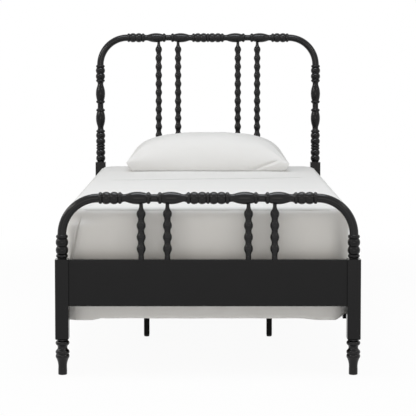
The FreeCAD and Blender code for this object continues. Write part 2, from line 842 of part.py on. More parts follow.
def leg_plug(name, x, y):
    """The plastic plug in a leg's lower end, with the hole that the glide's stem screws into."""
    body = new_body(name)
    side = s.leg_side - 2 * s.leg_wall - 2 * s.fit_gap
    pad(body, rectangle(body, f"{name}_section", side, side), f"{name}_block", s.leg_plug_height)
    bore(body, f"{name}_bore", s.glide_stem_diameter + 4 * s.fit_gap, s.leg_plug_height)
    place(body, x, y, leg_bottom)
    return body


def glide(name, x, y):
    """The screw glide that a leg stands on: a round pad with a stem up into the plug."""
    body = new_body(name)
    rim = s.glide_diameter / 2
    stem = s.glide_stem_diameter / 2
    outline = Outline(body, f"{name}_profile")
    outline.corner(0, 0).corner(rim - s.glide_edge, 0).corner(rim, s.glide_edge, s.glide_edge / 4)
    outline.corner(rim, s.glide_height).corner(stem, s.glide_height)
    outline.corner(stem, s.glide_height + s.glide_stem_length).corner(0, s.glide_height + s.glide_stem_length)
    revolve(body, outline.close(), f"{name}_turn")
    place(body, x, y, 0)
    node(body, name)


# Bedding

def soft_block(name, width, length, height, corner, edge, x, y, z):
    """A block with rounded corners and edges, its lower face centred on the given point."""
    body = new_body(name)
    block = pad(body, rectangle(body, f"{name}_section", width, length), f"{name}_block", height)
    rounded = soften(body, "Fillet", f"{name}_corners", block, edges_where(block, upright), corner)
    soften(body, "Fillet", f"{name}_edges", rounded, edges_where(rounded, level), edge)
    place(body, x, y, z)
    return body


def sheet_block(name, grow, bottom):
    """The mattress's outline grown by a cloth layer, reaching down to a height."""
    height = mattress_top + grow - bottom
    return soft_block(name, s.mattress_width + 2 * grow, s.mattress_length + 2 * grow, height,
                      s.mattress_corner + grow, s.mattress_edge + grow, 0, 0, bottom)


def cut(name, base, tool):
    result = doc.addObject("Part::Cut", name)
    result.Base = base
    result.Tool = tool
    return result


def plain_box(name, size, x, y, z):
    """A box from its lowest corner."""
    box = doc.addObject("Part::Box", name)
    for prop, value in zip(("Length", "Width", "Height"), size):
        bind(box, prop, value)
    place(box, x, y, z)
    return box


def fitted_sheet():
    """The sheet drawn tight over the mattress, open below."""
    inside = s.cloth_gap
    below = s.mattress_edge + s.mattress_corner
    outer = sheet_block("fitted_outer", inside + s.sheet_thickness, mattress_bottom - below)
    inner = sheet_block("fitted_inner", inside, mattress_bottom - 2 * below)
    shell = cut("fitted_shell", outer, inner)
    span = s.mattress_length * 2
    under = plain_box("fitted_under", (span, span, 2 * below), -span / 2, -span / 2, mattress_bottom - 2 * below)
    node(cut("fitted_sheet", shell, under), "fitted_sheet")


def flat_sheet():
    """The top sheet: over the mattress from its hem to the foot, hanging there, tucked at the sides."""
    inside = 2 * s.cloth_gap + s.sheet_thickness
    outside = inside + s.sheet_thickness
    below = s.mattress_edge + s.mattress_corner
    half_width = s.mattress_width / 2 + outside
    half_length = s.mattress_length / 2 + outside
    outer = sheet_block("flat_outer", outside, s.sheet_foot_hem - 2 * below)
    inner = sheet_block("flat_inner", inside, s.sheet_foot_hem - 3 * below)
    shell = cut("flat_shell", outer, inner)
    span = s.mattress_length * 2
    hem_y = s.mattress_length / 2 - s.sheet_hem_from_head
    beyond = plain_box("flat_beyond", (span, span, span), -span / 2, hem_y, 0)
    trimmed = cut("flat_trimmed", shell, beyond)
    tuck_y = s.mattress_corner - half_length
    sides = plain_box("flat_sides", (span, span, s.sheet_side_hem), -span / 2, tuck_y, 0)
    tucked = cut("flat_tucked", trimmed, sides)
    body = new_body("flat_hem")
    outline = Outline(body, "flat_hem_line")
    edge = half_width - s.hem_corner_width
    outline.corner(-half_width, 0).corner(half_width, 0)
    outline.corner(half_width, s.sheet_foot_hem + s.hem_corner_rise)
    outline.corner(edge, s.sheet_foot_hem - s.hem_dip, s.hem_dip)
    outline.corner(edge / 2, s.sheet_foot_hem, -s.hem_dip / 4)
    outline.corner(-edge / 2, s.sheet_foot_hem)
    outline.corner(-edge, s.sheet_foot_hem - s.hem_dip, -s.hem_dip / 4)
    outline.corner(-half_width, s.sheet_foot_hem + s.hem_corner_rise, s.hem_dip)
    outline.close()
    pad(body, outline.sketch, "flat_hem_pad", half_length + s.mattress_corner)
    under = plain_box("flat_under", (span, span, s.sheet_foot_hem * 4),
                      -span / 2, -span / 2, -s.sheet_foot_hem * 4)
    hemmed = cut("flat_hemmed", cut("flat_cleared", tucked, under), body)
    fold = corner_fold(half_length, mattress_top + outside)
    joined = doc.addObject("Part::Fuse", "flat_sheet")
    joined.Base = hemmed
    joined.Tool = fold
    node(joined, "flat_sheet")


def corner_fold(front, top):
    """The folded layer of the sheet at its left foot corner, lying on the hanging cloth."""
    body = new_body("corner_fold")
    left = -s.mattress_width / 2
    start = top - s.corner_fold_start
    straight = s.mattress_corner
    outline = Outline(body, "corner_fold_outline")
    outline.corner(left + straight, start)
    outline.corner(left + straight, start - s.corner_fold_height)
    outline.corner(left + straight + s.corner_fold_bottom, start - s.corner_fold_height)
    outline.corner(left + straight + s.corner_fold_top, start)
    pad(body, outline.close(), "corner_fold_pad", s.sheet_thickness * 2)
    place(body, 0, s.sheet_thickness - front, 0)
    return body


def pillow():
    """A plump pillow: sections across its width, flat below, crowned above, thin at both ends."""
    body = new_body("pillow")
    depth = s.pillow_depth / 2
    contact = s.pillow_contact / 2
    shoulder = s.pillow_width / 2 - s.pillow_shoulder_inset
    end = s.pillow_width / 2
    reach = depth + s.pillow_corner_reach
    end_seam = s.pillow_end_height / 2
    sections = [
        (-end, reach, contact, end_seam, s.pillow_end_height),
        (-shoulder, depth, contact, s.pillow_seam_height, s.pillow_shoulder_height),
        (0, depth, contact, s.pillow_seam_height, s.pillow_height),
        (shoulder, depth, contact, s.pillow_seam_height, s.pillow_shoulder_height),
        (end, reach, contact, end_seam, s.pillow_end_height),
    ]
    sketches = []
    for number, (x, wide, flat, seam, crown) in enumerate(sections, start=1):
        outline = Outline(body, f"pillow_section_{number}", "YZ_Plane", x)
        bulge = seam / 4
        outline.corner(-wide, seam).corner(-flat, 0, bulge).corner(flat, 0)
        outline.corner(wide, seam, bulge)
        sketches.append(outline.close(crown - seam))
    loft = body.newObject("PartDesign::AdditiveLoft", "pillow_loft")
    loft.Profile = (sketches[0], [""])
    loft.Sections = [(sketch, [""]) for sketch in sketches[1:]]
    place(body, 0, post_y - s.bead_diameter / 2 - 2 * s.rest_gap - reach, fitted_top + s.rest_gap)
    node(body, "pillow")


# The bed, put together

foot_column = [CLUSTER]
head_column = [[BEAD, BEAD, RING], CLUSTER, middle_turning(s.column_vase_length), CLUSTER]
dowels = []
bolts = []
for board, y_sign, spools in BOARDS:
    y = y_sign * post_y
    axis_z = rail_axis_z(spools)
    top = axis_z - s.bend_radius
    column_length = foot_column_length if spools == FOOT_SPOOLS else head_column_length
    column = foot_column if spools == FOOT_SPOOLS else head_column
    for side, x_sign in SIDES:
        post(board, side, x_sign, y_sign, y, column_length, column, top)
        bend(board, side, x_sign, y, axis_z)
        foot(board, side, x_sign * post_x, y)
        half = s.dowel_length / 2
        dowels.append(rod(f"{board}_{side}_column_dowel", s.dowel_diameter, s.dowel_length,
                          x_sign * post_x, y, top - half))
        dowels.append(rod(f"{board}_{side}_rail_dowel", s.dowel_diameter, s.dowel_length,
                          x_sign * rail_half - half, y, axis_z, *ALONG_X))
        bolts.append(rod(f"{board}_{side}_foot_bolt", s.bolt_diameter, s.bolt_length,
                         x_sign * post_x, y, foot_height - s.bolt_length / 2))
    top_rail(board, y, axis_z)
    panel(board, y)
    for number, x in enumerate(spindle_places(), start=1):
        spindle(board, number, x, y, spools)
group("arch_dowels", dowels)
group("foot_bolts", bolts)

hooks = []
pins = []
rail_screws = []
slat_screws = []
for side, sign in SIDES:
    side_rail(side, sign)
    cleat(side, sign)
    outward = ALONG_X if sign > 0 else AGAINST_X
    for end, y_sign in ENDS:
        hooks.append(hook_plate(f"hook_plate_{end}_{side}", sign * rail_x, y_sign))
        for number, height in enumerate(pin_heights(), start=1):
            pins.append(rod(f"pin_{end}_{side}_{number}", s.pin_diameter, s.pin_length,
                            sign * (post_x - s.post_side / 2),
                            y_sign * (post_face_y + pin_setback), height, *outward))
        for number, height in enumerate(hook_screw_heights, start=1):
            rail_screws.append(screw(f"hook_screw_{end}_{side}_{number}", s.hook_screw_length,
                                     sign * rail_inner_x,
                                     y_sign * (rail_length / 2 - s.hook_screw_setback), height, *outward))
    for number, y in enumerate(along_rail(CLEAT_SCREWS, cleat_length), start=1):
        rail_screws.append(screw(f"cleat_screw_{side}_{number}", s.cleat_screw_length,
                                 sign * cleat_face_x, y, cleat_middle, *outward))
    for number, y in enumerate(slat_places(), start=1):
        slat_screws.append(screw(f"slat_screw_{side}_{number}", s.slat_screw_length,
                                 sign * slat_screw_x, y, slat_top, *DOWN))
for number, y in enumerate(slat_places(), start=1):
    slat(number, y)
group("rail_hooks", hooks)
group("hook_pins", pins)
group("rail_screws", rail_screws)
group("slat_screws", slat_screws)

plugs = []
leg_screws = []
for end, index in zip(("front", "rear"), LEG_SLATS):
    y = slat_places()[index]
    for side, sign in SIDES:
        x = sign * s.leg_spread
        support_leg(f"support_leg_{end}_{side}", x, y)
        glide(f"leg_glide_{end}_{side}", x, y)
        plugs.append(leg_plug(f"leg_plug_{end}_{side}", x, y))
    for number, x in enumerate(leg_screw_places(), start=1):
        leg_screws.append(screw(f"leg_screw_{end}_{number}", s.leg_screw_length, x, y,
                                slat_bottom - s.leg_plate_thickness))
group("leg_plugs", plugs)
group("leg_screws", leg_screws)

node(soft_block("foundation", s.mattress_width - 2 * s.foundation_inset,
                s.mattress_length - 2 * s.foundation_inset, s.foundation_height,
                s.foundation_corner, s.foundation_edge, 0, 0, foundation_bottom), "foundation")
node(soft_block("mattress", s.mattress_width, s.mattress_length, s.mattress_height,
                s.mattress_corner, s.mattress_edge, 0, 0, mattress_bottom), "mattress")
fitted_sheet()
flat_sheet()
pillow()

# Checking and writing

doc.recompute()
failed = [item.Name for item in doc.Objects if {"Invalid", "Error"} & set(item.State)]
for item in nodes:
    if item.Shape.isNull() or not item.Shape.isValid():
        failed.append(item.Label)
if failed:
    raise RuntimeError("not built: " + ", ".join(failed))
os.makedirs("parts", exist_ok=True)
for item in nodes:
    item.Shape.exportStep(os.path.join("parts", f"{item.Label}.step"))
print(len(nodes), "nodes written")
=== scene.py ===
"""The looks of a painted twin spool bed with its bedding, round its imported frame."""
import math

import bpy
import numpy as np
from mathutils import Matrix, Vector, noise


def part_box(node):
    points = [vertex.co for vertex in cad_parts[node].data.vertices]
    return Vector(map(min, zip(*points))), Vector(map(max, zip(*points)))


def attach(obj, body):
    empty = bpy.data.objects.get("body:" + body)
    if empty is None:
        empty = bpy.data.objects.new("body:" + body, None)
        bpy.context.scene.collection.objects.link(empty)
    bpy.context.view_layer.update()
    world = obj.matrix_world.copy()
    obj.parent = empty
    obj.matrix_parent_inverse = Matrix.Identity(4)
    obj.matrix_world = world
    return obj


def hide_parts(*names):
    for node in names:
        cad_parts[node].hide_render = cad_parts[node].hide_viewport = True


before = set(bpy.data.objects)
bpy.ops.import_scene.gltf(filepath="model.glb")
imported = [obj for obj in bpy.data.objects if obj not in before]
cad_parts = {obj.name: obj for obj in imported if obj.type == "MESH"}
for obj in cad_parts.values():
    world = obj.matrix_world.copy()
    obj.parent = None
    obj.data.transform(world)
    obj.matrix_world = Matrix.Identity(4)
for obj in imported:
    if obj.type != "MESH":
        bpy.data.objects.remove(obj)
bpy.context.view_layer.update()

# The arched ends: posts, turned columns, bends, top rails, spindles, boards and feet.
# Close-grained wood, turned or planed, glued and dowelled, then sprayed with satin black paint
# that leaves a faint orange peel and lets a little of the grain show.


class Wire:
    """A shader value that can stand in sums and products; each one adds a Math node."""

    def __init__(self, finish, socket):
        self.finish = finish
        self.socket = socket

    def maths(self, operation, first, second):
        return self.finish.node("Math", {"operation": operation}, {0: first, 1: second})

    def __add__(self, other):
        return self.maths("ADD", self, other)

    def __radd__(self, other):
        return self.maths("ADD", other, self)

    def __mul__(self, other):
        return self.maths("MULTIPLY", self, other)

    def __rmul__(self, other):
        return self.maths("MULTIPLY", other, self)


class Wiring:
    """A node tree that takes nodes and joins them."""

    def __init__(self, owner):
        owner.use_nodes = True
        self.tree = owner.node_tree

    def join(self, socket, value):
        if isinstance(value, Wire):
            self.tree.links.new(value.socket, socket)
        else:
            socket.default_value = value

    def node(self, kind, settings=None, inputs=None, output=0):
        """Add a node: its settings first, then the values or links of its sockets."""
        made = self.tree.nodes.new(f"ShaderNode{kind}")
        for name, value in (settings or {}).items():
            if name == "stops":
                for stop, (position, colour) in zip(made.color_ramp.elements, value):
                    stop.position = position
                    stop.color = colour
            else:
                setattr(made, name, value)
        for name, value in (inputs or {}).items():
            self.join(made.inputs[name], value)
        return Wire(self, made.outputs[output])

    def tint(self, share, first, second):
        """A colour between two, by a value from 0 to 1."""
        return self.node("Mix", {"data_type": "RGBA"}, {0: share, 6: first, 7: second}, 2)


class Finish(Wiring):
    """A material made of nodes round one principled shader; place is the object's own coordinates."""

    def __init__(self, name):
        self.material = bpy.data.materials.new(name)
        super().__init__(self.material)
        self.shader = self.tree.nodes["Principled BSDF"]
        self.place = self.node("TexCoord", output="Object")

    def drawn_out(self, grain):
        """Places scaled unevenly; grain is how often a pattern repeats per metre along X, Y and Z."""
        return self.node("Mapping", {}, {"Vector": self.place, "Scale": grain})

    def noise(self, place, scale, detail):
        return self.node("TexNoise", {}, {"Vector": place, "Scale": scale, "Detail": detail})

    def bump(self, height, distance):
        return self.node("Bump", {}, {"Height": height, "Distance": distance})

    def surface(self, **values):
        """Set the shader's sockets, each called by its name in small letters."""
        for name, value in values.items():
            socket = name.replace("_", " ").title().replace("Ior", "IOR")
            self.join(self.shader.inputs[socket], value)


def dress(names, finish):
    """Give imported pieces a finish."""
    for name in names:
        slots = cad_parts[name].data.materials
        slots.clear()
        slots.append(finish.material)


def satin_paint(name, grain, shine):
    """Satin black; grain sets the run of the pores, and shine how strongly the paint mirrors."""
    finish = Finish(name)
    pores = finish.noise(finish.drawn_out(grain), scale=1.0, detail=3.0)
    peel = finish.noise(finish.place, scale=620.0, detail=1.0)
    cloud = finish.noise(finish.place, scale=11.0, detail=3.0)
    finish.surface(
        base_color=finish.tint(cloud, (0.0018, 0.0017, 0.0021, 1), (0.0032, 0.0030, 0.0036, 1)),
        roughness=0.13 + cloud * 0.06 + pores * 0.05,
        specular_ior_level=shine,
        normal=finish.bump(pores * 0.6 + peel * 0.4, distance=0.00006),
    )
    return finish


BOARDS = ("footboard", "headboard")
SPINDLES = 4
SIDES = ("left", "right")
GRAIN_UP = (260, 260, 9)
GRAIN_ACROSS = (9, 260, 260)
GRAIN_ALONG = (260, 9, 260)
TURNED_SHINE = 0.31
POST_SHINE = 0.25
BOARD_SHINE = 0.23
turned_up = satin_paint("satin_black_turned_up", GRAIN_UP, TURNED_SHINE)
turned_across = satin_paint("satin_black_turned_across", GRAIN_ACROSS, TURNED_SHINE)
post_paint = satin_paint("satin_black_post", GRAIN_UP, POST_SHINE)
panel_paint = satin_paint("satin_black_panel", GRAIN_ACROSS, BOARD_SHINE)
for board in BOARDS:
    dress([f"{board}_panel"], panel_paint)
    dress([f"{board}_top_rail"], turned_across)
    dress([f"{board}_spindle_{number}" for number in range(1, SPINDLES + 1)], turned_up)
    for side in SIDES:
        dress([f"{board}_post_{side}"], post_paint)
        dress([f"{board}_foot_{side}", f"{board}_bend_{side}"], turned_up)

# The side rails: long boards between the ends, with a cleat along each, painted as the ends are.
# Steel hook plates are let into their ends and drop over pins in the posts, and screws hold
# the plates and the cleats.

rail_paint = satin_paint("satin_black_side_rail", GRAIN_ALONG, BOARD_SHINE)
dress([f"side_rail_{side}" for side in SIDES] + [f"slat_cleat_{side}" for side in SIDES], rail_paint)

zinc = Finish("zinc_plated_steel")
mottle = zinc.noise(zinc.place, scale=160.0, detail=4.0)
zinc.surface(
    base_color=zinc.tint(mottle, (0.50, 0.50, 0.49, 1), (0.66, 0.67, 0.68, 1)),
    metallic=1.0,
    roughness=0.26 + mottle * 0.22,
    normal=zinc.bump(mottle, distance=0.0001),
)
dress(["rail_hooks", "hook_pins", "rail_screws", "slat_screws", "foot_bolts", "leg_screws"], zinc)

# The slats that lie on the cleats, and the dowels of the arches.
# Planed softwood left bare, with the grain along each strip and a few darker streaks.


def bare_wood(name, grain):
    """Planed softwood; grain sets the run of the streaks."""
    finish = Finish(name)
    drawn = finish.drawn_out(grain)
    rings = finish.noise(drawn, scale=1.0, detail=5.0)
    fibres = finish.noise(drawn, scale=6.0, detail=2.0)
    stops = [(0.32, (0.40, 0.25, 0.13, 1)), (0.66, (0.66, 0.49, 0.31, 1))]
    streaks = finish.node("ValToRGB", {"stops": stops}, {0: rings * 0.8 + fibres * 0.2})
    finish.surface(
        base_color=streaks,
        roughness=0.52 + fibres * 0.2,
        specular_ior_level=0.35,
        normal=finish.bump(fibres * 0.7 + rings * 0.3, distance=0.0003),
    )
    return finish


SLATS = 10
SLAT_GRAIN = (2.2, 70, 70)
DOWEL_GRAIN = (90, 90, 4)
dress([f"slat_{number}" for number in range(1, SLATS + 1)], bare_wood("bare_wood_across", SLAT_GRAIN))
dress(["arch_dowels"], bare_wood("bare_wood_up", DOWEL_GRAIN))

# The support legs: square steel tube welded to a plate, powder coated black.
# A moulded plug closes each tube, and a black plastic glide screws into it.

coat = Finish("black_powder_coat")
grit = coat.noise(coat.place, scale=1400.0, detail=2.0)
patch = coat.noise(coat.place, scale=30.0, detail=2.0)
coat.surface(
    base_color=coat.tint(patch, (0.0028, 0.0028, 0.0028, 1), (0.0050, 0.0050, 0.0050, 1)),
    roughness=0.46 + grit * 0.16,
    specular_ior_level=0.1,
    normal=coat.bump(grit, distance=0.0002),
)
ENDS = ("front", "rear")
dress([f"support_leg_{end}_{side}" for end in ENDS for side in SIDES], coat)

moulded = Finish("black_moulded_plastic")
texture = moulded.noise(moulded.place, scale=2200.0, detail=1.0)
wear = moulded.noise(moulded.place, scale=90.0, detail=3.0)
moulded.surface(
    base_color=moulded.tint(wear, (0.010, 0.010, 0.010, 1), (0.022, 0.022, 0.021, 1)),
    roughness=0.42 + wear * 0.2,
    normal=moulded.bump(texture, distance=0.00012),
)
dress(["leg_plugs"] + [f"leg_glide_{end}_{side}" for end in ENDS for side in SIDES], moulded)

# The foundation: a low sprung base on the slats, in a pale woven border.
# Welted edges run round its top and bottom, and a dark dust cloth is stapled underneath.


def plan(reach, half_width, half_length, corner):
    """Place and outward direction on a rounded rectangle, by the way round to it.

    The way starts at the middle of the foot edge. Positive reach goes round by the right side
    and negative by the left.
    """
    side = np.sign(reach)
    way = np.abs(reach)
    foot_straight = half_width - corner
    side_straight = 2 * (half_length - corner)
    arc = corner * math.pi / 2
    turn = np.clip(way - foot_straight, 0, arc) / corner
    up = np.clip(way - foot_straight - arc, 0, side_straight)
    turn_back = np.clip(way - foot_straight - arc - side_straight, 0, arc) / corner
    back = np.clip(way - foot_straight - 2 * arc - side_straight, 0, foot_straight)
    angle = turn + turn_back
    across = np.sin(angle)
    along = -np.cos(angle)
    x = np.minimum(way, foot_straight) + corner * across - back
    y = corner - half_length + up + corner * along
    return side * x, y, side * across, along


def round_way(half_width, half_length, corner):
    """The whole way round half of that outline."""
    return 2 * (half_width - corner) + 2 * (half_length - corner) + corner * math.pi


def new_piece(name, points, faces, body, finish):
    """A smooth mesh that rides on a body."""
    mesh = bpy.data.meshes.new(name)
    mesh.from_pydata([tuple(point) for point in points], [], faces)
    mesh.materials.append(finish.material)
    mesh.polygons.foreach_set("use_smooth", [True] * len(mesh.polygons))
    piece = bpy.data.objects.new(name, mesh)
    bpy.context.scene.collection.objects.link(piece)
    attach(piece, body)
    return piece


def rumple(x, y, height, rates, seed):
    """Smooth unevenness up to about a height, which changes at the given rates along x and y."""
    pairs = zip(np.ravel(x * rates[0]), np.ravel(y * rates[1]))
    flat = [noise.noise(Vector((float(a), float(b), seed))) for a, b in pairs]
    return height * np.array(flat).reshape(np.shape(x))


BLOCK_COLUMNS = 240
FACE_INSETS = (0.06, 0.012)
WELT_STEPS = 6
WELT_TUCK = 0.002
SIDE_ROWS = 12
SIDE_RIPPLE = 0.0012


def welt_arc(welt, middle):
    """Outset and height round the outer half of a welt; middle is the height of its middle."""
    angles = [math.pi * (step / WELT_STEPS - 0.5) for step in range(WELT_STEPS + 1)]
    return [(welt * math.cos(angle), middle + welt * math.sin(angle)) for angle in angles]


def block_profile(height, welt, bulge):
    """Outset and height up a padded block's side, from its underside to its top."""
    side = []
    for step in range(1, SIDE_ROWS):
        share = step / SIDE_ROWS
        outset = bulge * math.sin(math.pi * share) - WELT_TUCK
        side.append((outset, 2 * welt + share * (height - 4 * welt)))
    under = [(-inset, 0.0) for inset in FACE_INSETS]
    over = [(-inset, height) for inset in reversed(FACE_INSETS)]
    return under + welt_arc(welt, welt) + side + welt_arc(welt, height - welt) + over


def padded_block(name, node, corner, welt, bulge, finish):
    """A padded block in a node's box: rounded corners, welted edges and softly bulging sides.

    The node and the body that it rides on share a name.
    """
    low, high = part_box(node)
    half_width = (high.x - low.x) / 2 - welt
    half_length = (high.y - low.y) / 2 - welt
    height = high.z - low.z
    profile = block_profile(height, welt, bulge)
    whole = round_way(half_width, half_length, corner)
    reach = np.linspace(-whole, whole, BLOCK_COLUMNS, endpoint=False)
    x, y, across, along = plan(reach, half_width, half_length, corner)
    sag = rumple(reach, reach, height=SIDE_RIPPLE, rates=(3.1, 0.4), seed=0.0)
    points = []
    for outset, z in profile:
        between_welts = 2 * welt < z < height - 2 * welt
        spread = outset + (sag if between_welts else 0.0)
        points += list(zip(x + across * spread, y + along * spread, np.full(BLOCK_COLUMNS, low.z + z)))
    faces = []
    for row in range(len(profile) - 1):
        lower = row * BLOCK_COLUMNS
        upper = lower + BLOCK_COLUMNS
        for column in range(BLOCK_COLUMNS):
            following = (column + 1) % BLOCK_COLUMNS
            faces.append((lower + column, lower + following, upper + following, upper + column))
    faces.append(tuple(reversed(range(BLOCK_COLUMNS))))
    faces.append(tuple(range(len(points) - BLOCK_COLUMNS, len(points))))
    piece = new_piece(name, points, faces, node, finish)
    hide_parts(node)
    return piece


# A wave texture of scale 1 repeats every 0.314 m.
BAND_SPACING = 0.314


def woven(name, shade, light, pitch, relief, sheen):
    """Plain-woven cloth between two tones, with threads a pitch apart each way."""
    finish = Finish(name)
    slub = finish.noise(finish.place, scale=240.0, detail=2.0)
    cloud = finish.noise(finish.place, scale=5.0, detail=3.0)
    bands = {"Vector": finish.place, "Scale": BAND_SPACING / pitch, "Distortion": 0.6, "Detail": 1.0}
    threads = [finish.node("TexWave", {"bands_direction": axis}, bands, 1) for axis in ("X", "Y", "Z")]
    weave = (threads[0] + threads[1] + threads[2]) * 0.25 + slub * 0.25
    finish.surface(
        base_color=finish.tint(cloud * 0.6 + slub * 0.4, shade, light),
        roughness=0.82 + slub * 0.12,
        specular_ior_level=0.18,
        sheen_weight=sheen,
        normal=finish.bump(weave, relief),
    )
    return finish


border_cloth = woven("foundation_border_cloth", (0.64, 0.635, 0.62, 1), (0.74, 0.735, 0.72, 1),
                     pitch=0.0024, relief=0.0004, sheen=0.1)
dust_cloth = woven("black_dust_cloth", (0.012, 0.012, 0.013, 1), (0.024, 0.024, 0.025, 1),
                   pitch=0.003, relief=0.0004, sheen=0.1)
foundation = padded_block("foundation_base", "foundation", corner=0.058, welt=0.005, bulge=0.003,
                          finish=border_cloth)
foundation.data.materials.append(dust_cloth.material)
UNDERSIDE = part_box("foundation")[0].z + 0.001
for face in foundation.data.polygons:
    if face.center.z < UNDERSIDE:
        face.material_index = 1

# The mattress: sprung and padded, in quilted white ticking with welted edges.
# It lies on the foundation, and the sheets cover all of it but the underside.

ticking = woven("quilted_white_ticking", (0.70, 0.70, 0.68, 1), (0.80, 0.80, 0.78, 1),
                pitch=0.0028, relief=0.0006, sheen=0.15)
mattress = padded_block("mattress_block", "mattress", corner=0.066, welt=0.006, bulge=0.002, finish=ticking)

# The fitted sheet: smooth white cotton pulled tight over the mattress.
# Its corners are sewn into boxes, and elastic in its lower edge gathers it a little there.

cotton = woven("smooth_white_cotton", (0.81, 0.803, 0.79, 1), (0.87, 0.865, 0.855, 1),
               pitch=0.0012, relief=0.00012, sheen=0.12)

SHEET_EDGE = 0.024
SHEET_CORNER = 0.072
EDGE_STEPS = 6
EDGE_FADE = 0.12
CORNER_COLUMNS = 44
GRID_STEP = 0.018


def ramp(value, start, length):
    """0 up to start and 1 past a length from there, with a smooth rise between."""
    held = np.clip((value - start) / length, 0.0, 1.0)
    return held * held * (3 - 2 * held)


def fine_ended(start, end, fine):
    """Places from start to end, close together in a fine stretch at each end."""
    first = np.linspace(start, start + fine, CORNER_COLUMNS + 1)
    last = np.linspace(end - fine, end, CORNER_COLUMNS + 1)
    middle = np.linspace(first[-1], last[0], max(2, round((last[0] - first[-1]) / GRID_STEP)) + 1)
    return np.concatenate([first, middle[1:-1], last])


def sheet_top(half_width, half_length, start, end, boxed):
    """Places on a sheet's top, drawn into round corners, and 1 for each, fading to 0 at the edges."""
    inner = SHEET_CORNER - SHEET_EDGE
    side = half_width - SHEET_EDGE
    x, y = np.meshgrid(fine_ended(-side, side, inner), fine_ended(start, end, inner))
    corner_x = half_width - SHEET_CORNER
    corner_y = half_length - SHEET_CORNER
    over_x = np.clip((np.abs(x) - corner_x) / inner, 0, 1)
    over_y = np.clip((-y - corner_y) / inner, 0, 1)
    if boxed:
        over_y = np.maximum(over_y, np.clip((y - corner_y) / inner, 0, 1))
    in_corner = (over_x > 0) & (over_y > 0)
    round_x = over_x * np.sqrt(1 - over_y ** 2 / 2)
    round_y = over_y * np.sqrt(1 - over_x ** 2 / 2)
    x = np.where(in_corner, np.sign(x) * (corner_x + inner * round_x), x)
    y = np.where(in_corner, np.sign(y) * (corner_y + inner * round_y), y)
    inset = np.minimum(side - np.abs(x), y - start)
    if boxed:
        inset = np.minimum(inset, end - y)
    return x, y, ramp(inset, 0, EDGE_FADE)


def way_round(edge_x, edge_y, half_width, half_length):
    """Way round to places on the top's border, as plan counts it."""
    corner_x = half_width - SHEET_CORNER
    corner_y = half_length - SHEET_CORNER
    past_x = np.clip(np.abs(edge_x) - corner_x, 0, None)
    past_y = np.clip(np.abs(edge_y) - corner_y, 0, None)
    in_corner = corner_x + SHEET_CORNER * np.arctan2(past_x, past_y)
    on_side = corner_x + SHEET_CORNER * math.pi / 2 + edge_y + corner_y
    way = np.where(np.abs(edge_x) <= corner_x, np.abs(edge_x), in_corner)
    way = np.where(np.abs(edge_y) <= corner_y, on_side, way)
    way = np.where(edge_y > corner_y, round_way(half_width, half_length, SHEET_CORNER) - way, way)
    return np.where(edge_x < 0, -way, way)


def grid_faces(count_x, count_y, first=0):
    """The faces of a grid of points counted row by row from a first one."""
    faces = []
    for row in range(count_y - 1):
        for column in range(count_x - 1):
            start = first + row * count_x + column
            faces.append((start, start + 1, start + count_x + 1, start + count_x))
    return faces


def level(*places):
    """For a sheet with no rise or drift."""
    return 0.0


def cover(name, low, high, lift, hang, hem, rows, boxed=False, rise=level, drift=level):
    """A sheet over the mattress: its top, its rounded edge and the drop to its hem, in one mesh.

    lift raises the top by place, hang pushes the drop outward by way round and height, hem gives
    the hem's height by way round, and rows is how many rows of faces the drop has. boxed closes it
    round the head end too. rise lifts top and edge by place along the bed, and drift moves columns
    of the drop along the way round by height.
    """
    half_width = (high.x - low.x) / 2
    half_length = max(-low.y, high.y) if boxed else -low.y
    end = high.y - SHEET_EDGE if boxed else high.y
    x, y, fade = sheet_top(half_width, half_length, low.y + SHEET_EDGE, end, boxed)
    count_y, count_x = x.shape
    points = list(zip(x.ravel(), y.ravel(), (high.z + rise(y) + lift(x, y) * fade).ravel()))
    faces = grid_faces(count_x, count_y)
    left = [row * count_x for row in range(count_y - 1, -1, -1)]
    foot = list(range(1, count_x))
    right = [row * count_x + count_x - 1 for row in range(1, count_y)]
    head = [(count_y - 1) * count_x + column for column in range(count_x - 2, 0, -1)]
    border = left + foot + right + (head if boxed else [])
    edge_y = y.ravel()[border]
    reach = way_round(x.ravel()[border], edge_y, half_width, half_length)
    columns = len(border)
    above = border
    for step in range(1, EDGE_STEPS + rows + 1):
        angle = min(step / EDGE_STEPS, 1.0) * math.pi / 2
        share = max(0.0, (step - EDGE_STEPS) / rows)
        z = high.z + rise(edge_y) - SHEET_EDGE * (1 - math.cos(angle))
        z = z + share * (hem(reach) - z)
        moved = reach + drift(reach, z)
        place_x, place_y, across, along = plan(moved, half_width, half_length, SHEET_CORNER)
        outset = hang(moved, z) * math.sin(angle) - SHEET_EDGE * (1 - math.sin(angle))
        below = list(range(len(points), len(points) + columns))
        points += list(zip(place_x + across * outset, place_y + along * outset, z))
        for column in range(columns if boxed else columns - 1):
            following = (column + 1) % columns
            faces.append((above[column], below[column], below[following], above[following]))
        above = below
    return new_piece(name, points, faces, "mattress", cotton)


fitted_low, fitted_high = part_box("fitted_sheet")
FITTED_ROWS = 16
FITTED_SINK = 0.0006
FITTED_CLEARANCE = 0.0012
HEAD_RISE = 0.0035
HEAD_START = 0.36
HEAD_RUN = 0.22
HEM_LIFT = 0.0005
GATHERED_BAND = 0.09
GATHER_DEPTH = 0.0022
GATHER_RATE = 150
GATHER_PULL = 0.004


def fitted_rise(y):
    """The bed swells a little under the pillow."""
    return HEAD_RISE * ramp(y, HEAD_START, HEAD_RUN)


def fitted_lift(x, y):
    return rumple(x, y, height=0.0008, rates=(6, 5), seed=3.0) - FITTED_SINK


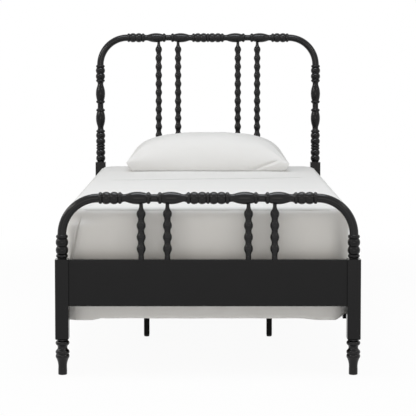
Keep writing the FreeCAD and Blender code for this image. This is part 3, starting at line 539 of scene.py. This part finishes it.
def fitted_hang(reach, z):
    """Elastic draws the lower band in and gathers it unevenly."""
    low_down = ramp(fitted_low.z + GATHERED_BAND - z, 0, GATHERED_BAND)
    unevenly = 3 * np.sin(reach * 11)
    gathers = GATHER_DEPTH * np.sin(reach * GATHER_RATE + unevenly) * low_down
    return gathers - GATHER_PULL * low_down - FITTED_CLEARANCE


def fitted_hem(reach):
    return np.full(np.shape(reach), fitted_low.z + HEM_LIFT)


fitted = cover("fitted_sheet_cover", fitted_low, fitted_high, fitted_lift, fitted_hang, fitted_hem,
               FITTED_ROWS, boxed=True, rise=fitted_rise)
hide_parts("fitted_sheet")

# The top sheet: white cotton laid from a hem below the pillow to the foot of the bed.
# It hangs free at the foot nearly to the slats and goes down inside the side rails, with a
# folded corner that shows as a slanting crease at the left.

flat_low, flat_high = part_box("flat_sheet")
FLAT_ROWS = 34
FLAT_SINK = 0.001
FLAT_CLEARANCE = 0.0015
CLOTH_THICKNESS = 0.0014
SIDE_HEM = 0.302
FOOT_HEM = 0.190

# The hem at the head: a folded band that laps over the sheet in front of it and lies askew.
HEM_FOLD = flat_high.y - 0.0245
HEM_GAP = 0.0006
HEM_STEP = 0.0024
HEM_START = 0.0005
HEM_ROUND = 0.0022
HEM_LAP = 0.004
LAP_FADE = 0.012
LAP_FROM = 0.6
HEM_SLANT = 0.17
SLANT_START = -0.1

# The folded corner at the left: height and way round of its crease's upper end, and its lean.
FOLD_TOP = 0.545
FOLD_WAY = -0.441
FOLD_SLANT = 0.2
FOLD_LENGTH = 0.2
FOLD_REACH = 0.085
FOLD_START = 0.036
FOLD_RUN = 0.03
PLEAT_DEPTH = 0.013
PLEAT_WIDTH = 0.05
GROOVE_DEPTH = 0.0136
GROOVE_WIDTH = 0.003

# Waves that grow down the drop, and fine streaks low down at the left.
WAVE_DEPTH = 0.0016
WAVE_RUN = 0.3
STREAK_DEPTH = 0.0012
STREAK_RATE = 190
STREAK_DROP = 0.3
STREAK_WAY = 0.26

# The shallow crease at the right: its way round at a drop, and its lean.
CREASE_WAY = 0.462
CREASE_DROP = 0.09
CREASE_LEAN = 0.16
CREASE_DEPTH = 0.0013
CREASE_WIDTH = 0.006
CREASE_START = 0.06
CREASE_RUN = 0.05

# The hem at the foot: it rises round the corners and dips just before them.
HEM_RISE = 0.019
RISE_PAST = 0.016
RISE_RUN = 0.05
HEM_DIP = 0.0065
LEFT_DIP_START = 0.372
RIGHT_DIP_START = 0.32
DIP_END = 0.388
TUCK_START = 0.75
TUCK_RUN = 0.9

foot_straight = flat_high.x - SHEET_CORNER
corner_way = SHEET_CORNER * math.pi / 2


def flat_lift(x, y):
    """Soft rumples, and the rounded edge of the band at the head hem."""
    broad = rumple(x, y, height=0.0016, rates=(4.2, 3.1), seed=7.0)
    small = rumple(x, y, height=0.0007, rates=(13, 9), seed=1.0)
    past = y - HEM_FOLD
    edge = HEM_GAP + (HEM_STEP - HEM_GAP) * ramp(past, HEM_START, HEM_ROUND)
    return broad + small - FLAT_SINK + np.where(past > 0, edge, 0.0)


def flat_drift(reach, z):
    """Columns near the left corner lean along the crease."""
    lean = FOLD_SLANT * np.clip(FOLD_TOP - z, 0, FOLD_LENGTH)
    return -lean * ramp(1 - np.abs(reach - FOLD_WAY) / FOLD_REACH, 0, 1)


def ridge(off, width):
    """1 on a line, falling off smoothly to both sides."""
    return np.exp(-(off / width) ** 2)


def flat_hang(reach, z):
    """Soft waves and streaks, a deep crease at the left corner and a shallow one at the right."""
    drop = flat_high.z - z
    swing = np.sin(reach * 13.5 + 0.8) * np.sin(reach * 5.1 + 0.3)
    waves = WAVE_DEPTH * ramp(drop, 0, WAVE_RUN) * swing
    low_left = ramp(drop, STREAK_DROP, 0.08) * ramp(-reach, STREAK_WAY, 0.06)
    streaks = STREAK_DEPTH * np.sin(reach * STREAK_RATE) * low_left
    crumple = rumple(reach, drop, height=0.0009, rates=(16, 6), seed=4.0)
    past_fold = reach - (FOLD_WAY - FOLD_SLANT * (FOLD_TOP - z))
    pleat = PLEAT_DEPTH * ridge(past_fold, PLEAT_WIDTH)
    groove = GROOVE_DEPTH * ridge(past_fold, GROOVE_WIDTH)
    folded = (pleat - groove) * ramp(drop, FOLD_START, FOLD_RUN)
    past_crease = reach - CREASE_WAY - CREASE_LEAN * (drop - CREASE_DROP)
    crease = CREASE_DEPTH * ridge(past_crease, CREASE_WIDTH) * ramp(drop, CREASE_START, CREASE_RUN)
    return waves + streaks + crumple + folded - crease - FLAT_CLEARANCE


def flat_hem(reach):
    """The hem hangs lowest near the corners, rises round them and goes up to the tucked sides."""
    way = np.abs(reach)
    rise = HEM_RISE * ramp(way, foot_straight + RISE_PAST, RISE_RUN)
    start = np.where(reach < 0, LEFT_DIP_START, RIGHT_DIP_START)
    dip = -HEM_DIP * ramp(way, start, DIP_END - start)
    tuck = ramp(way, foot_straight + TUCK_START * corner_way, TUCK_RUN * corner_way)
    wander = 0.0004 * np.sin(reach * 19) + 0.0003 * np.sin(reach * 47 + 1)
    foot = FOOT_HEM + rise + dip + wander
    return foot + tuck * (SIDE_HEM - foot)


def lay_head_hem(piece):
    """Lap the hem's band over the sheet in front of it, and turn it nearer the pillow at the right."""
    places = np.empty(3 * len(piece.data.vertices))
    piece.data.vertices.foreach_get("co", places)
    x = places[0::3]
    y = places[1::3].copy()
    past = y - HEM_FOLD
    inside = ramp(flat_high.x - SHEET_EDGE - np.abs(x), 0, EDGE_FADE)
    lapped = ramp(inside, LAP_FROM, 1 - LAP_FROM) * (1 - ramp(np.abs(past), 0, LAP_FADE))
    turned = HEM_SLANT * x * ramp(y, SLANT_START, flat_high.y - SLANT_START)
    places[1::3] = y + np.where(past > 0, -HEM_LAP, HEM_LAP / 2) * lapped + turned
    piece.data.vertices.foreach_set("co", places)
    piece.data.update()


top_sheet = cover("top_sheet", flat_low, flat_high, flat_lift, flat_hang, flat_hem,
                  FLAT_ROWS, drift=flat_drift)
lay_head_hem(top_sheet)
thickness = top_sheet.modifiers.new("cloth_thickness", "SOLIDIFY")
thickness.thickness = CLOTH_THICKNESS
thickness.offset = -1
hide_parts("flat_sheet")

# The pillow: a plump cotton pillow lying against the headboard.
# Two panels sewn round the edge, so its sides draw in between the corners and small creases
# run out of the corners; it is flat only where it rests on the bed.

pillow_low, pillow_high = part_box("pillow")
pillow_middle = (pillow_low + pillow_high) / 2
PILLOW_HALF_WIDTH = (pillow_high.x - pillow_low.x) / 2
PILLOW_HALF_DEPTH = (pillow_high.y - pillow_low.y) / 2
PILLOW_BASE = pillow_low.z + HEAD_RISE
PILLOW_HEIGHT = pillow_high.z - PILLOW_BASE
PILLOW_COLUMNS = 132
PILLOW_ROWS = 84

# Heights of the seam, and how far the front and the back draw in between the corners.
FRONT_SEAM = 0.046
BACK_SEAM = 0.056
LEFT_TIP = 0.043
RIGHT_TIP = 0.036
TIP_START = 0.8
FRONT_DRAW_IN = 0.16
BACK_DRAW_IN = 0.05
END_DRAW_IN = 0.03
END_STRETCH = 1.005

# How full the crown is towards the ends, and towards the front and back, as two powers each.
END_FULLNESS = (3.3, 0.68)
SIDE_FULLNESS = (2.6, 0.6)

# The underside lifts off the bed past these shares of its half width and half depth.
END_LIFT = 0.9
END_CURL = 2.4
EDGE_LIFT = 0.86

# Creases out of the corners: which corner, how many by the angle, and where they start.
CORNER_CREASES = (
    (-1, -1, 9, 0.4),
    (1, -1, 11, 1.9),
    (-1, 1, 10, 0.9),
    (1, 1, 9, 2.6),
)
CORNER_CREASE_HEIGHT = 0.0042
CORNER_CREASE_REACH = 0.085
CORNER_CREASE_START = 0.03

# The soft crease on the front: its lower end, its climb and its place along the pillow.
FRONT_CREASE_X = 0.209
FRONT_CREASE_FOOT = 0.009
FRONT_CREASE_CLIMB = 0.376
FRONT_CREASE_FROM = 0.18
FRONT_CREASE_TO = 0.33
FRONT_CREASE_FADE = 0.04
FRONT_CREASE_DEPTH = 0.006
FRONT_CREASE_WIDTH = 0.006


def pillow_seam(u, v):
    """Height of the sewn edge: lower along the front and at the tips than at the back."""
    between = FRONT_SEAM + (BACK_SEAM - FRONT_SEAM) * (v + 1) / 2
    tip = np.where(u < 0, LEFT_TIP, RIGHT_TIP)
    return between + (tip - between) * ramp(np.abs(u), TIP_START, 1 - TIP_START)


def swell(off, fullness):
    """1 in the middle of the pillow, falling to 0 at its edge."""
    inner, outer = fullness
    return (1 - np.abs(off) ** inner) ** outer


def pillow_creases(u, v):
    """Creases that fan out of each corner and die out towards the middle."""
    total = 0.0 * u
    for corner_u, corner_v, turns, phase in CORNER_CREASES:
        away_u = (u - corner_u) * PILLOW_HALF_WIDTH
        away_v = (v - corner_v) * PILLOW_HALF_DEPTH
        away = np.hypot(away_u, away_v)
        fan = np.sin(turns * np.arctan2(away_v, away_u) + phase)
        fade = np.exp(-(away / CORNER_CREASE_REACH) ** 1.4) * ramp(away, 0, CORNER_CREASE_START)
        total = total + fan * fade
    return CORNER_CREASE_HEIGHT * total


def front_crease(x, v, height):
    """How far a soft crease that climbs to the right pushes in the pillow's front."""
    off_line = height - FRONT_CREASE_FOOT - FRONT_CREASE_CLIMB * (x - FRONT_CREASE_X)
    begun = ramp(x, FRONT_CREASE_FROM, FRONT_CREASE_FADE)
    going_on = ramp(FRONT_CREASE_TO - x, 0, FRONT_CREASE_FADE)
    return FRONT_CREASE_DEPTH * ridge(off_line, FRONT_CREASE_WIDTH) * begun * going_on * (v < 0)


def pillow_panels():
    """The places of the upper panel and of the lower one, by row and column."""
    spread_u = np.sin(np.linspace(-1, 1, PILLOW_COLUMNS) * math.pi / 2)
    spread_v = np.sin(np.linspace(-1, 1, PILLOW_ROWS) * math.pi / 2)
    u, v = np.meshgrid(spread_u, spread_v)
    x = PILLOW_HALF_WIDTH * u * (END_STRETCH - END_DRAW_IN * (1 - v ** 2) * u ** 2)
    draw_in = np.where(v < 0, FRONT_DRAW_IN, BACK_DRAW_IN)
    y = PILLOW_HALF_DEPTH * v * (1 - draw_in * (1 - u ** 2) * v ** 2)
    seam = pillow_seam(u, v)
    crown = swell(u, END_FULLNESS) * swell(v, SIDE_FULLNESS)
    broad = rumple(u, v, height=0.0026, rates=(3.2, 2.2), seed=5.0)
    small = rumple(u, v, height=0.0014, rates=(9, 6), seed=2.0)
    slack = (broad + small + pillow_creases(u, v)) * np.minimum(1, 3 * crown)
    upper = seam + (PILLOW_HEIGHT - seam) * crown + slack
    past_end = np.clip((np.abs(u) - END_LIFT) / (1 - END_LIFT), 0, 1)
    past_edge = np.clip((np.abs(v) - EDGE_LIFT) / (1 - EDGE_LIFT), 0, 1)
    lower = seam * np.maximum(past_end ** END_CURL, 1 - np.sqrt(1 - past_edge ** 2))
    return [(x, y + front_crease(x, v, height), height) for height in (upper, lower)]


def pillow_mesh():
    """Both panels joined along the seam."""
    points = []
    for x, y, height in pillow_panels():
        points += list(zip((pillow_middle.x + x).ravel(), (pillow_middle.y + y).ravel(),
                           (PILLOW_BASE + height).ravel()))
    size = PILLOW_COLUMNS * PILLOW_ROWS
    rim = {}
    for row in range(PILLOW_ROWS):
        for column in range(PILLOW_COLUMNS):
            if row in (0, PILLOW_ROWS - 1) or column in (0, PILLOW_COLUMNS - 1):
                upper = row * PILLOW_COLUMNS + column
                rim[size + upper] = upper
    faces = grid_faces(PILLOW_COLUMNS, PILLOW_ROWS)
    for face in grid_faces(PILLOW_COLUMNS, PILLOW_ROWS, size):
        faces.append(tuple(rim.get(index, index) for index in reversed(face)))
    return points, faces


points, faces = pillow_mesh()
pillow = new_piece("pillow_cushion", points, faces, "pillow", cotton)
pillow.modifiers.new("soft_cloth", "SUBSURF").render_levels = 1
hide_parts("pillow")

# The studio: a pale floor that keeps a trace of the bed's shadow, and a white surround.
# Soft boxes hang over the bed, stand beside it and stand in front of it.

FLOOR_REACH = 60.0
FLOOR_LEVEL = -0.0005
floor_mesh = bpy.data.meshes.new("floor")
around = ((-1, -1), (1, -1), (1, 1), (-1, 1))
corners = [(x * FLOOR_REACH, y * FLOOR_REACH, FLOOR_LEVEL) for x, y in around]
floor_mesh.from_pydata(corners, [], [(0, 1, 2, 3)])
floor = bpy.data.objects.new("floor", floor_mesh)
bpy.context.scene.collection.objects.link(floor)


def looked_at(wiring):
    """1 where a camera, mirrored or transmitted ray arrives, and 0 for other light."""
    kinds = ("Camera", "Glossy", "Transmission")
    rays = [wiring.node("LightPath", output=f"Is {kind} Ray") for kind in kinds]
    return rays[0] + rays[1] + rays[2]


# Up to NEAR_FLOOR from the bed's middle a little of the lit floor shows, and past FAR_FLOOR none.
NEAR_FLOOR = 1.5
FAR_FLOOR = 3.4
SHADOWED_WHITE = 0.95
pale = Finish("pale_floor")
pale.surface(base_color=(0.91, 0.905, 0.89, 1), roughness=0.9, specular_ior_level=0.1)
away = pale.node("VectorMath", {"operation": "LENGTH"}, {0: pale.place}, "Value")
white = pale.node("MapRange", {"interpolation_type": "SMOOTHSTEP"}, {
    "Value": away, "From Min": NEAR_FLOOR, "From Max": FAR_FLOOR, "To Min": SHADOWED_WHITE, "To Max": 1.0})
glow = pale.node("Emission", {}, {"Color": (1, 1, 1, 1), "Strength": 1.0})
lit = Wire(pale, pale.shader.outputs[0])
blend = pale.node("MixShader", {}, {0: looked_at(pale) * white, 1: lit, 2: glow})
pale.tree.links.new(blend.socket, pale.tree.nodes["Material Output"].inputs["Surface"])
floor_mesh.materials.append(pale.material)

world = bpy.data.worlds.new("studio")
bpy.context.scene.world = world
surround = Wiring(world)
backdrop = surround.tint(looked_at(surround), (0.345, 0.335, 0.318, 1), (1, 1, 1, 1))
surround.join(surround.tree.nodes["Background"].inputs["Color"], backdrop)


def soft_box(name, place, target, size, power, colour):
    """A soft box aimed at a point; size is its width and height."""
    lamp = bpy.data.lights.new(name, "AREA")
    lamp.shape = "RECTANGLE"
    lamp.size = size[0]
    lamp.size_y = size[1]
    lamp.energy = power
    lamp.color = colour
    box = bpy.data.objects.new(name, lamp)
    box.location = place
    box.rotation_mode = "QUATERNION"
    box.rotation_quaternion = (Vector(target) - Vector(place)).to_track_quat("-Z", "Y")
    bpy.context.scene.collection.objects.link(box)


COOL_WHITE = (0.89, 0.94, 1.0)
FAINTLY_WARM_WHITE = (1.0, 0.97, 0.93)
WARM_WHITE = (1.0, 0.955, 0.89)
AMBER_WHITE = (1.0, 0.93, 0.84)
CORNER_BOX = (0.65, 0.65)
FOOT_HALF = (0, -0.5, 0.5)
soft_box("overhead_box", place=(0, -0.9, 3.8), target=(0, -0.7, 0), size=(2.8, 1.0),
         power=71, colour=COOL_WHITE)
soft_box("left_box", place=(-3.4, -3.0, 3.0), target=FOOT_HALF, size=CORNER_BOX,
         power=19, colour=WARM_WHITE)
soft_box("right_box", place=(3.4, -3.0, 3.0), target=FOOT_HALF, size=CORNER_BOX,
         power=13, colour=WARM_WHITE)
soft_box("left_side_box", place=(-3.6, -0.6, 2.4), target=(0, -0.6, 0.4), size=(0.8, 1.2),
         power=22, colour=FAINTLY_WARM_WHITE)
soft_box("front_box", place=(0, -7.6, 0.9), target=(0, -0.9, 0.3), size=(5.0, 1.7),
         power=32, colour=AMBER_WHITE)

# The camera stands past the foot end, a little lower than the top of the headboard.
# It looks slightly down, and its shift frames the bed.

LENS = 135.808
PITCH = math.radians(3.5)
SHIFT = -0.1551
STAND = (0.0002, -6.3682, 1.1308)
camera_data = bpy.data.cameras.new("camera")
camera_data.lens = LENS
camera_data.sensor_width = 36.0
camera_data.shift_y = SHIFT
camera_data.clip_end = 200.0
camera = bpy.data.objects.new("camera", camera_data)
camera.location = STAND
camera.rotation_euler = (math.pi / 2 - PITCH, 0, 0)
bpy.context.scene.collection.objects.link(camera)
bpy.context.scene.camera = camera
bpy.context.scene.view_settings.view_transform = "Standard"
